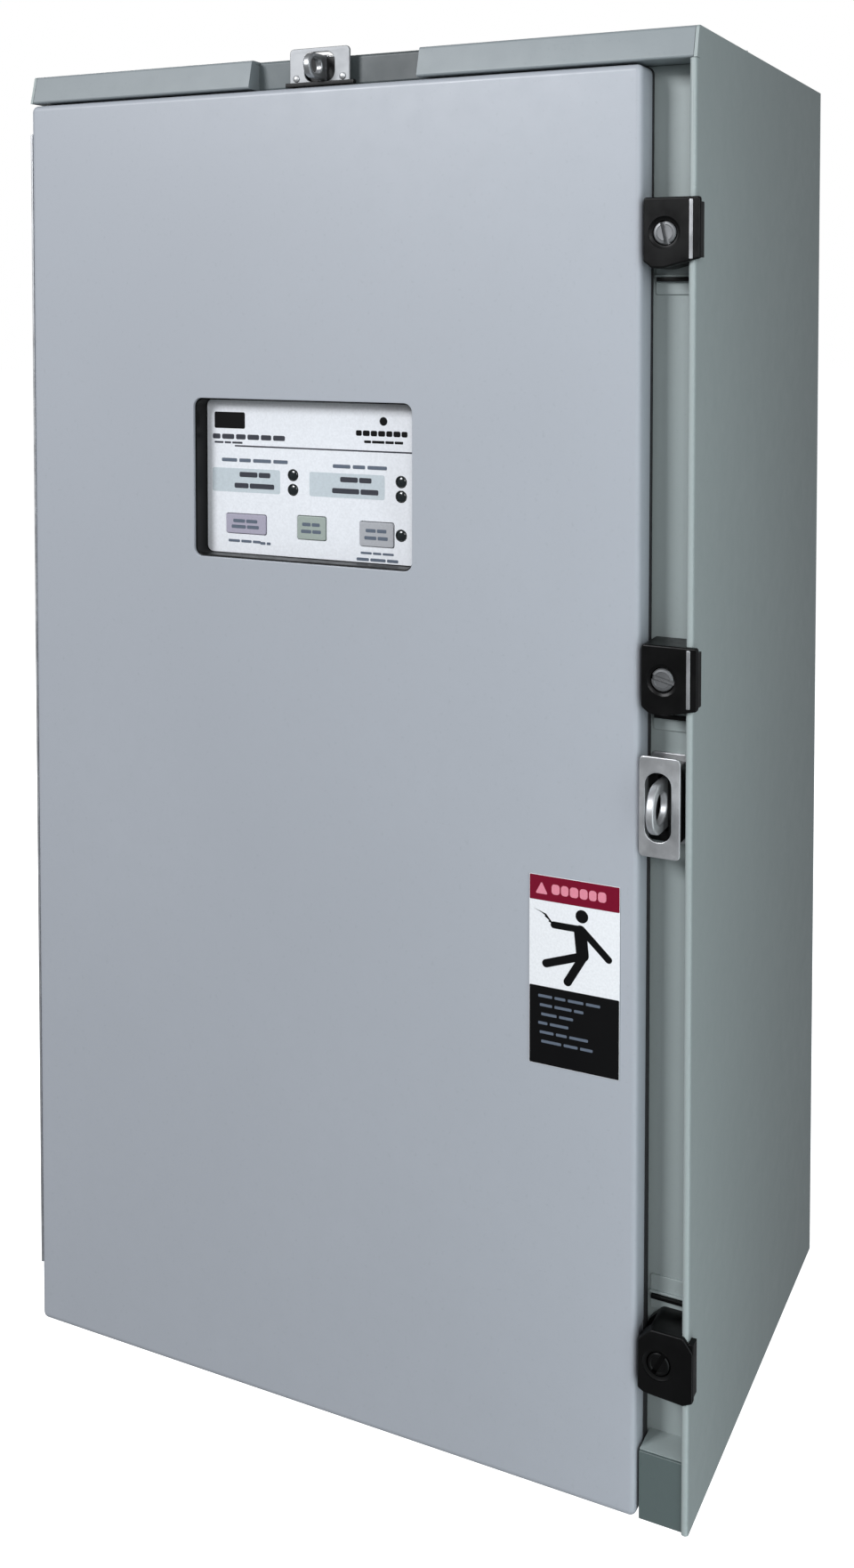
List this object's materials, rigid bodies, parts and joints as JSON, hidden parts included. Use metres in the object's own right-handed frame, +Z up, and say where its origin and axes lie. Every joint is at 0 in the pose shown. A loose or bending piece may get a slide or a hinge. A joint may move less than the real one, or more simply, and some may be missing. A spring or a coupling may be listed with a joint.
{
  "type": "automatic transfer switch",
  "caption": "Wall-mounted automatic transfer switch: grey rain-tight steel cabinet with a hinged padlockable door, quarter-turn latches, a small operator panel and the switch mechanism inside.",
  "frame": {"origin": "centre of the back panel's wall face, at half the cabinet's height", "axes": "+X right as seen from the front, +Y into the wall, +Z up; the door faces -Y"},
  "size_m": [0.4924, 0.3453, 0.962],
  "materials": {
    "door_paint": "light grey baked enamel, satin",
    "body_paint": "grey baked enamel, satin",
    "panel_paint": "white enamel, satin",
    "zinc": "zinc-plated steel",
    "chrome": "bright plated steel",
    "black_plastic": "black moulded nylon",
    "overlay_film": "printed polyester film",
    "lamp_lens": "dark clear lens",
    "key_plastic": "grey membrane key",
    "sign_film": "printed vinyl sign",
    "foam": "closed-cell foam",
    "phenolic": "moulded phenolic",
    "aluminium": "tin-plated aluminium",
    "copper": "copper and its winding",
    "board": "solder-masked circuit board",
    "steel": "plain steel"
  },
  "bodies": {
    "enclosure": {"back_panel": "body_paint", "left_side": "body_paint", "right_side": "body_paint", "top_hood": "body_paint", "bottom_pan": "body_paint", "mounting_panel": "panel_paint", "top_staple": "chrome", "side_staple": "zinc", "latch_housing_top": "black_plastic", "latch_housing_middle": "black_plastic", "latch_housing_bottom": "black_plastic", "hinge_frame_leaf": "zinc", "hinge_pin": "steel", "switch_base": "phenolic", "normal_lug_a": "aluminium", "normal_lug_b": "aluminium", "normal_lug_c": "aluminium", "emergency_lug_a": "aluminium", "emergency_lug_b": "aluminium", "emergency_lug_c": "aluminium", "load_lug_a": "aluminium", "load_lug_b": "aluminium", "load_lug_c": "aluminium", "normal_arc_cover": "phenolic", "emergency_arc_cover": "phenolic", "operator_frame": "zinc", "solenoid_coil": "copper", "neutral_bar": "aluminium", "ground_bar": "copper", "control_transformer": "steel", "terminal_strip": "black_plastic"},
    "door": {"door_panel": "door_paint", "door_gasket": "foam", "hinge_door_leaf": "zinc", "interface_bezel": "black_plastic", "interface_overlay": "overlay_film", "status_lamp_1": "lamp_lens", "status_lamp_2": "lamp_lens", "status_lamp_3": "lamp_lens", "status_lamp_4": "lamp_lens", "status_lamp_5": "lamp_lens", "controller_housing": "panel_paint", "circuit_board": "board", "danger_sign": "sign_film", "top_hasp_plate": "chrome", "side_hasp_plate": "zinc"},
    "latch_top": {"latch_spindle_top": "zinc"},
    "latch_middle": {"latch_spindle_middle": "zinc"},
    "latch_bottom": {"latch_spindle_bottom": "zinc"},
    "operator": {"operator_weight": "steel", "manual_handle": "black_plastic"},
    "contacts": {"contact_shaft": "steel", "moving_contact_a": "copper", "moving_contact_b": "copper", "moving_contact_c": "copper"},
    "core": {"solenoid_core": "steel"},
    "key_test": {"test_key": "key_plastic"},
    "key_bypass": {"bypass_key": "key_plastic"},
    "key_retransfer": {"retransfer_key": "key_plastic"}
  },
  "joints": [
    {"name": "door_swing", "type": "hinge", "parent": "enclosure", "child": "door", "pos_m": [-0.245, -0.306, 0], "axis": [0, 0, -1], "range_deg": [0, 110]},
    {"name": "latch_top_turn", "type": "hinge", "parent": "enclosure", "child": "latch_top", "pos_m": [0.222, -0.33, 0.326], "axis": [0, -1, 0], "range_deg": [0, 90]},
    {"name": "latch_middle_turn", "type": "hinge", "parent": "enclosure", "child": "latch_middle", "pos_m": [0.222, -0.33, 0.0655], "axis": [0, -1, 0], "range_deg": [0, 90]},
    {"name": "latch_bottom_turn", "type": "hinge", "parent": "enclosure", "child": "latch_bottom", "pos_m": [0.222, -0.33, -0.344], "axis": [0, -1, 0], "range_deg": [0, 90]},
    {"name": "operator_turn", "type": "hinge", "parent": "enclosure", "child": "operator", "pos_m": [-0.104, -0.103, 0.01], "axis": [1, 0, 0], "range_deg": [0, 120]},
    {"name": "contact_turn", "type": "hinge", "parent": "enclosure", "child": "contacts", "pos_m": [0, -0.095, -0.04], "axis": [1, 0, 0], "range_deg": [0, 44]},
    {"name": "core_slide", "type": "slide", "parent": "enclosure", "child": "core", "axis": [0, 0, 1], "range_m": [0, 0.018]},
    {"name": "test_press", "type": "slide", "parent": "door", "child": "key_test", "axis": [0, 1, 0], "range_m": [0, 0.0009], "stiffness_N_per_m": 400},
    {"name": "bypass_press", "type": "slide", "parent": "door", "child": "key_bypass", "axis": [0, 1, 0], "range_m": [0, 0.0009], "stiffness_N_per_m": 400},
    {"name": "retransfer_press", "type": "slide", "parent": "door", "child": "key_retransfer", "axis": [0, 1, 0], "range_m": [0, 0.0009], "stiffness_N_per_m": 400}
  ],
  "couplings": [
    {"joint": "contact_turn", "follows": "operator_turn", "ratio": 0.36666},
    {"joint": "core_slide", "follows": "operator_turn", "m_per_rad": 0.00859}
  ]
}
